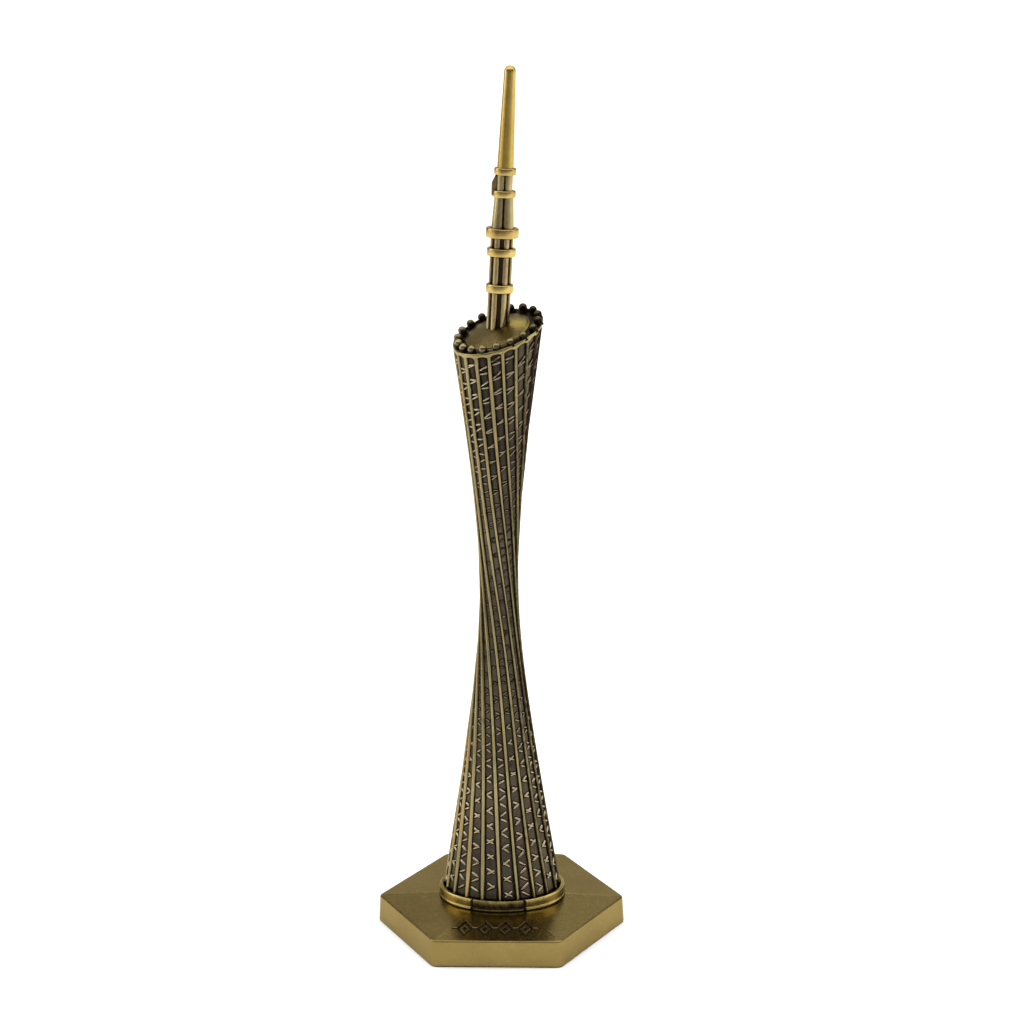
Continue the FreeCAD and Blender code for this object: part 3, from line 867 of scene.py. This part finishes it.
def make_beads():
    """Round-headed knobs with spreading feet, none quite like the next."""
    dice = random.Random(3)
    build = Builder()
    normal = np.array([-roof_slope_x, -roof_slope_y, 1.0])
    foot = [(0.98, -0.40), (0.92, -0.22), (0.84, 0.02), (0.80, 0.30)]
    head = arc((0, bead_post), bead_radius + 0.04, 0, 84, 10)
    for bead in range(bead_count):
        angle = first_bead_angle + bead * TAU / bead_count + dice.uniform(-0.015, 0.015)
        place = roof_outline(np.array([angle]), -bead_inset, 0.0)[0]
        place += np.array([bead_shift, 0.0, bead_shift * roof_slope_x])
        size = dice.uniform(0.95, 1.04)
        lean = np.array([dice.uniform(-0.08, 0.08), dice.uniform(-0.08, 0.08), 0.0])
        profile = [(radius * size, height * size) for radius, height in foot + head]
        points = turned(profile, place, axis_frame(normal + lean), columns=24)
        heights = np.array([height for _, height in profile])
        # painted side light: knobs on the lit front-left are painted bright, the rest darker down to
        # a least share
        painted_light = least_knob_light + (1 - least_knob_light) * painted_side_light(angle, 0.0) ** 2
        wear_and_light = np.clip((heights - 0.1) / 1.1, 0.05, 1.0)[:, None] * painted_light
        build.add_capped(points, wear_and_light)
    build.piece("crown_knobs", knob_brass, "dark_brass", "crown_beads", sharp_angle=70)


# ---------------------------------------- mast
# heights and sizes of the mast's pieces are measured along its leaning axis
mast_foot = np.array([0.72, 0.0, 127.4])
mast_lean = math.radians(3.4)
mast_axis = np.array([math.sin(mast_lean), 0.0, math.cos(mast_lean)])
mast_turn = axis_frame(mast_axis)
bands = {
    "mast_lower_band": ((8.1, 9.8), 2.75),
    "mast_middle_band": ((15.4, 17.0), 2.9),
    "mast_main_band": ((19.1, 21.0), 3.3),
    "mast_upper_band": ((27.0, 28.4), 2.3),
    "mast_top_band": ((31.4, 32.8), 2.2),
}
mast_top = 52.6
band_edge_round, band_depth = 0.24, 1.0
spike_foot_radius, spike_tip_radius = 1.65, 1.15
stem_turn = math.radians(3)


def on_mast(build, profile, wear_and_light, columns=64, shape=None):
    """Add a piece turned about the mast's axis."""
    points = turned(profile, mast_foot, mast_turn, columns, shape)
    build.add_capped(points, np.asarray(wear_and_light, float).reshape(len(profile), -1))


def make_band(node):
    """Ring with rounded edges, a little fuller at its middle."""
    (low, high), radius = bands[node]
    edge = band_edge_round
    inner = radius - band_depth
    profile = ([(inner, low + 0.06)] + arc((radius - edge, low + edge), edge, -90, 0, 5)
               + [(radius + 0.03, (low + high) / 2)]
               + arc((radius - edge, high - edge), edge, 0, 90, 5) + [(inner, high - 0.06)])
    # the band's middle is painted darker than its rounded edges, as painted reflection; its ends
    # against the stem are darkest
    wear_and_light = [0.2, 0.55, 0.8, 1.0, 1.0, 0.95, 0.80, 0.95, 1.0, 1.0, 0.95, 0.75, 0.2]
    build = Builder()
    on_mast(build, profile, np.array(wear_and_light)[:, None])
    build.piece(node + "_ring", band_brass, "bright_brass", node)


def lobes(count, depth, first, share):
    """Radius factor of a stem with round rods; the valleys between them take the rest."""
    def factor(angles, height):
        away = np.abs((angles - first) * count / TAU % 1.0 - 0.5)
        rod = np.sqrt(np.clip(1 - ((0.5 - away) / (0.5 * share)) ** 2, 0, 1))
        return 1 - depth * (1 - rod)
    return factor


def make_stem(name, node, material, rods, heights, radii, depth, share, rows=14):
    """Straight or tapered bundle of round rods from one height to another."""
    first = -TAU / 4 + TAU / (2 * rods) + stem_turn
    shape = lobes(rods, depth, first, share)
    (low, high), (low_radius, high_radius) = heights, radii
    profile = [(low_radius + (high_radius - low_radius) * s, low + (high - low) * s)
               for s in np.linspace(0, 1, rows)]
    columns = 144
    angles = np.linspace(0, TAU, columns, endpoint=False)
    ridge = (shape(angles, 0) - (1 - depth)) / depth
    wear_and_light = np.broadcast_to(0.05 + 0.95 * ridge ** 1.5, (rows, columns))
    build = Builder()
    on_mast(build, profile, wear_and_light, columns=columns, shape=shape)
    build.piece(name, material, "rib_brass", node, sharp_angle=75)


lug_low, lug_high, lug_left, lug_right = 27.25, 31.3, -2.5, -1.25
lug_half_depth, lug_edge, lug_wear = 0.85, 0.16, 0.48


def make_side_box():
    """Small lug with a slanted top on the left of the top stem."""
    low, high, left, right = lug_low, lug_high, lug_left, lug_right
    deep, edge = lug_half_depth, lug_edge
    outline = [(right, low), (left + edge, low), (left, low + edge), (left - 0.05, high - 1.5),
               (left + 0.12, high - 1.1), (left + 0.55, high - edge), (left + 0.7, high),
               (right, high)]
    rows = []
    middle = np.array([(left + right) / 2, (low + high) / 2])
    for y, inset in ((-deep, edge), (-deep + edge, 0), (deep - edge, 0), (deep, edge)):
        ring = []
        for x, z in outline:
            toward = np.sign(middle - np.array([x, z])) * inset
            ring.append([x + toward[0], y, z + toward[1]])
        rows.append(np.array(ring) @ mast_turn.T + mast_foot)
    build = Builder()
    build.add_capped(rows, lug_wear)
    build.piece("mast_lug", stem_brass, "dark_brass", "mast_side_box", sharp_angle=35)


def make_spike():
    """Tapered needle with a round tip, from the top band to the top of the mast."""
    low = bands["mast_top_band"][0][1] - 0.02
    foot, tip = spike_foot_radius, spike_tip_radius
    shoulder = mast_top - tip
    profile = [(foot, low)]
    profile += [(foot + (tip - foot) * s, low + (shoulder - low) * s)
                for s in np.linspace(0.04, 0.98, 16)]
    profile += arc((0, shoulder), tip, 0, 84, 10)
    wear_and_light = np.full((len(profile), 1), 0.95)
    build = Builder()
    on_mast(build, profile, wear_and_light, columns=72)
    build.piece("mast_needle", spike_brass, "bright_brass", "mast_spike")


def make_mast():
    """Five bands, three stems, the lug and the spike."""
    for node in bands:
        make_band(node)
    make_stem("mast_fluted_stem", "mast_lower_stem", stem_brass, rods=6, heights=(0.6, 19.2),
              radii=(2.27, 2.27), depth=0.27, share=0.66, rows=40)
    make_stem("mast_tapered_stem", "mast_upper_stem", upper_stem_brass, rods=4,
              heights=(20.9, 27.1), radii=(2.5, 2.1), depth=0.26, share=0.95)
    make_stem("mast_short_stem", "mast_top_stem", upper_stem_brass, rods=4,
              heights=(28.3, 31.5), radii=(1.76, 1.76), depth=0.26, share=0.95)
    make_side_box()
    make_spike()


# ---------------------------------------- carried-over CAD pieces
def dress_hidden_parts():
    """The pad, the screw and its washer are the CAD pieces with a material of their own."""
    for node, material in (("base_pad", felt("pad_felt")),
                           ("base_screw", zinc_steel("screw_steel")),
                           ("screw_washer", zinc_steel("washer_steel"))):
        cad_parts[node].material_slots[0].material = material


# ---------------------------------------- stage, light, camera
# from here on, sizes are in metres
floor_reach, floor_gap = 8.0, 0.0001
floor_white = (0.92, 0.92, 0.92, 1.0)


def make_floor():
    """Plain white floor just under the object."""
    mesh = bpy.data.meshes.new("floor")
    reach = floor_reach
    mesh.from_pydata([(-reach, -reach, 0), (reach, -reach, 0), (reach, reach, 0),
                      (-reach, reach, 0)], [], [(0, 1, 2, 3)])
    floor = bpy.data.objects.new("floor", mesh)
    bpy.context.scene.collection.objects.link(floor)
    n = Nodes("floor_white")
    n.shader.inputs["Base Color"].default_value = floor_white
    n.shader.inputs["Roughness"].default_value = 0.9
    n.shader.inputs["Specular IOR Level"].default_value = 0.1
    mesh.materials.append(n.material)
    floor.location.z = cad_box[0].z - floor_gap


def make_light(name, place, target, size, radiance, seen_by="all"):
    """Soft panel whose face has the given radiance; it may serve only the floor or only gloss."""
    data = bpy.data.lights.new(name, "AREA")
    data.shape = "RECTANGLE"
    data.size, data.size_y = size
    data.energy = radiance * math.pi * size[0] * size[1]
    light = bpy.data.objects.new(name, data)
    bpy.context.scene.collection.objects.link(light)
    light.location = place
    direction = Vector(target) - Vector(place)
    light.rotation_euler = direction.to_track_quat("-Z", "Y").to_euler()
    light.visible_camera = False
    light.visible_glossy = seen_by != "floor"
    light.visible_diffuse = seen_by != "gloss"
    return light


# the wash light over the floor, and the strengths of the even lights
wash_turn = math.radians(-10)
wash_near, wash_length, wash_width, wash_height = 0.50, 6.0, 5.0, 0.22
wash_radiance, sun_strength, world_strength = 1.05, 0.85, 0.24


def make_panels():
    """Soft boxes at both sides, and panels that are only mirrored in the metal."""
    middle = (0, 0, 0.09)
    low = (0.0, 0.0, 0.15)
    roof = (0.004, 0.0, 0.129)
    make_light("side_left", (-0.95, 0.15, 0.55), middle, (0.7, 0.9), 1.6)
    make_light("side_right", (0.95, 0.10, 0.50), middle, (0.6, 0.9), 1.1)
    make_light("backdrop_glow", (0.0, 5.2, 1.4), (0.0, 0.0, 1.4), (8.0, 2.8), 0.46, "gloss")
    make_light("top_box", (0.0, 0.05, 0.75), (0.0, 0.05, 0.0), (1.3, 1.3), 0.9, "gloss")
    make_light("roof_glow", (0.0, 1.24, 0.97), roof, (0.36, 0.22), 1.3, "gloss")
    make_light("card_left", (-0.95, -0.30, 0.15), low, (0.80, 0.36), 0.60, "gloss")
    make_light("card_right", (0.75, -0.55, 0.15), low, (0.95, 0.30), 0.16, "gloss")


def make_floor_wash():
    """Brightens the floor under and behind the object, and fades towards the camera."""
    away = wash_length / 2 - wash_near
    place = (-math.sin(wash_turn) * away, math.cos(wash_turn) * away, wash_height)
    wash = make_light("floor_wash", place, (place[0], place[1], 0.0),
                      (wash_width, wash_length), wash_radiance, "floor")
    wash.rotation_euler = (0.0, 0.0, wash_turn)


def make_overhead():
    """Even light from the whole ceiling."""
    sky = bpy.data.lights.new("overhead", "SUN")
    sky.angle = math.radians(90)
    sky.energy = sun_strength
    overhead = bpy.data.objects.new("overhead", sky)
    bpy.context.scene.collection.objects.link(overhead)


def make_world():
    """Faint white light from all round."""
    world = bpy.data.worlds.new("studio")
    world.use_nodes = True
    bpy.context.scene.world = world
    background = world.node_tree.nodes["Background"]
    background.inputs["Color"].default_value = (1, 1, 1, 1)
    background.inputs["Strength"].default_value = world_strength


# the main viewpoint, as a tripod and a lens
camera_turn = math.radians(2.758)
camera_pitch = math.radians(14.912)
camera_roll = math.radians(-0.728)
camera_pan = math.radians(0.386)
camera_distance = 0.47816
camera_target_height = 0.09023
camera_lens = 82.46
camera_far = 60


def make_camera():
    """Camera a little above the object, turned, rolled and panned by small angles."""
    back = Vector((math.sin(camera_turn) * math.cos(camera_pitch),
                   -math.cos(camera_turn) * math.cos(camera_pitch), math.sin(camera_pitch)))
    data = bpy.data.cameras.new("camera")
    data.lens = camera_lens
    data.clip_end = camera_far
    camera = bpy.data.objects.new("camera", data)
    bpy.context.scene.collection.objects.link(camera)
    right = (-back).cross(Vector((0, 0, 1))).normalized()
    up = right.cross(-back)
    turn = Matrix((right, up, back)).transposed().to_4x4()
    turn = turn @ Matrix.Rotation(camera_roll, 4, "Z") @ Matrix.Rotation(-camera_pan, 4, "Y")
    place = Vector((0, 0, camera_target_height)) + back * camera_distance
    camera.matrix_world = Matrix.Translation(place) @ turn
    bpy.context.scene.camera = camera
    bpy.context.scene.view_settings.view_transform = "Standard"


make_camera()
make_floor()
make_panels()
make_floor_wash()
make_overhead()
make_world()
make_base()
make_foot_ring()
make_wall()
make_ribs()
make_strokes()
make_crown_rim()
make_roof_plate()
make_beads()
make_mast()
dress_hidden_parts()
